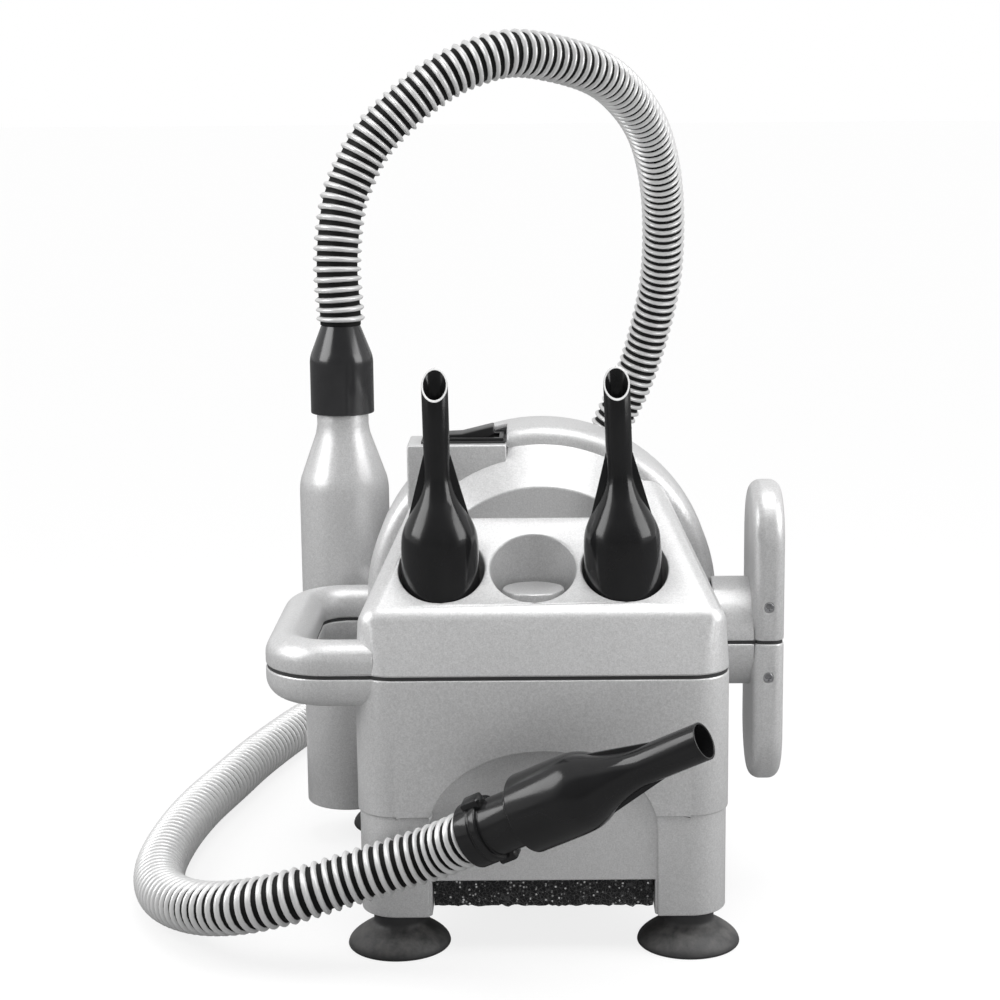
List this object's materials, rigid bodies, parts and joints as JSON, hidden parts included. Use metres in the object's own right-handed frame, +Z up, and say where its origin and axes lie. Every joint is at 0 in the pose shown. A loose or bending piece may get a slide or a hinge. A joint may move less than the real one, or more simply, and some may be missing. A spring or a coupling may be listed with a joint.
{
  "type": "pet dryer",
  "caption": "Portable blower for drying pets: moulded casing on suction feet, carry handle, cord wrap, tray for nozzles, upright outlet and ribbed hose with nozzle.",
  "frame": {"origin": "on the floor, below the middle of the casing with its handle, flange and feet", "axes": "+X to the right as seen from the front, +Y to the rear, +Z up"},
  "size_m": [0.4196, 0.6515, 0.5566],
  "materials": {
    "silver_shell": "satin metallic moulding",
    "black_rubber": "matte",
    "hose_wall": "ribbed, semi-gloss",
    "gloss_black": "gloss",
    "inner_plastic": "matte",
    "foam": "open-cell foam",
    "steel": "plated",
    "pressed_metal": "pressed",
    "copper": "wound copper",
    "carbon": "matte"
  },
  "bodies": {
    "base": {"lower_casing": "silver_shell", "upper_cover": "silver_shell", "seam_gasket": "black_rubber", "foot_front_left": "black_rubber", "foot_front_right": "black_rubber", "foot_rear_left": "black_rubber", "foot_rear_right": "black_rubber", "foot_studs": "steel", "filter_wires": "steel", "intake_grille": "inner_plastic", "outlet_riser": "silver_shell", "riser_strap": "steel", "outlet_duct": "inner_plastic", "hose_cuff": "black_rubber", "hose": "hose_wall", "hose_connector": "gloss_black", "switch_gasket": "black_rubber", "switch_bezel": "gloss_black", "switch_body": "inner_plastic", "motor_bulkhead": "pressed_metal", "motor_gasket": "black_rubber", "fan_shroud": "pressed_metal", "diffuser_plate": "pressed_metal", "motor_frame": "pressed_metal", "stator": "copper", "front_bearing": "steel", "rear_bearing": "steel", "brush_holders": "inner_plastic", "carbon_brushes": "carbon", "rear_motor_mount": "black_rubber", "acoustic_liner": "foam", "terminal_block": "inner_plastic", "cord_inlet": "inner_plastic", "flange_tie": "steel", "flange_screws": "steel", "casing_screws": "steel"},
    "rotor": {"rotor_shaft": "steel", "armature": "copper", "commutator": "copper", "front_impeller": "pressed_metal", "rear_impeller": "pressed_metal"},
    "rocker": {"switch_rocker": "gloss_black"},
    "left_store": {"left_nozzle": "gloss_black"},
    "right_store": {"right_nozzle": "gloss_black"},
    "hose_tip": {"straight_nozzle": "gloss_black"},
    "filter": {"intake_filter": "foam"}
  },
  "joints": [
    {"name": "rotor_spin", "type": "hinge", "parent": "base", "child": "rotor", "pos_m": [0.008, 0.00325, 0.194], "axis": [0, 1, 0], "continuous": true},
    {"name": "rocker_tilt", "type": "hinge", "parent": "base", "child": "rocker", "pos_m": [-0.04075, -0.00975, 0.294], "axis": [0, 1, 0], "range_deg": [0, 16]},
    {"name": "left_nozzle_lift", "type": "slide", "parent": "base", "child": "left_store", "axis": [0, 0, 1], "range_m": [0, 0.07]},
    {"name": "right_nozzle_lift", "type": "slide", "parent": "base", "child": "right_store", "axis": [0, 0, 1], "range_m": [0, 0.07]},
    {"name": "tip_pull", "type": "slide", "parent": "base", "child": "hose_tip", "axis": [0.7977, -0.3852, 0.464], "range_m": [0, 0.03]},
    {"name": "filter_draw", "type": "slide", "parent": "base", "child": "filter", "axis": [0, -1, 0], "range_m": [0, 0.15]}
  ]
}
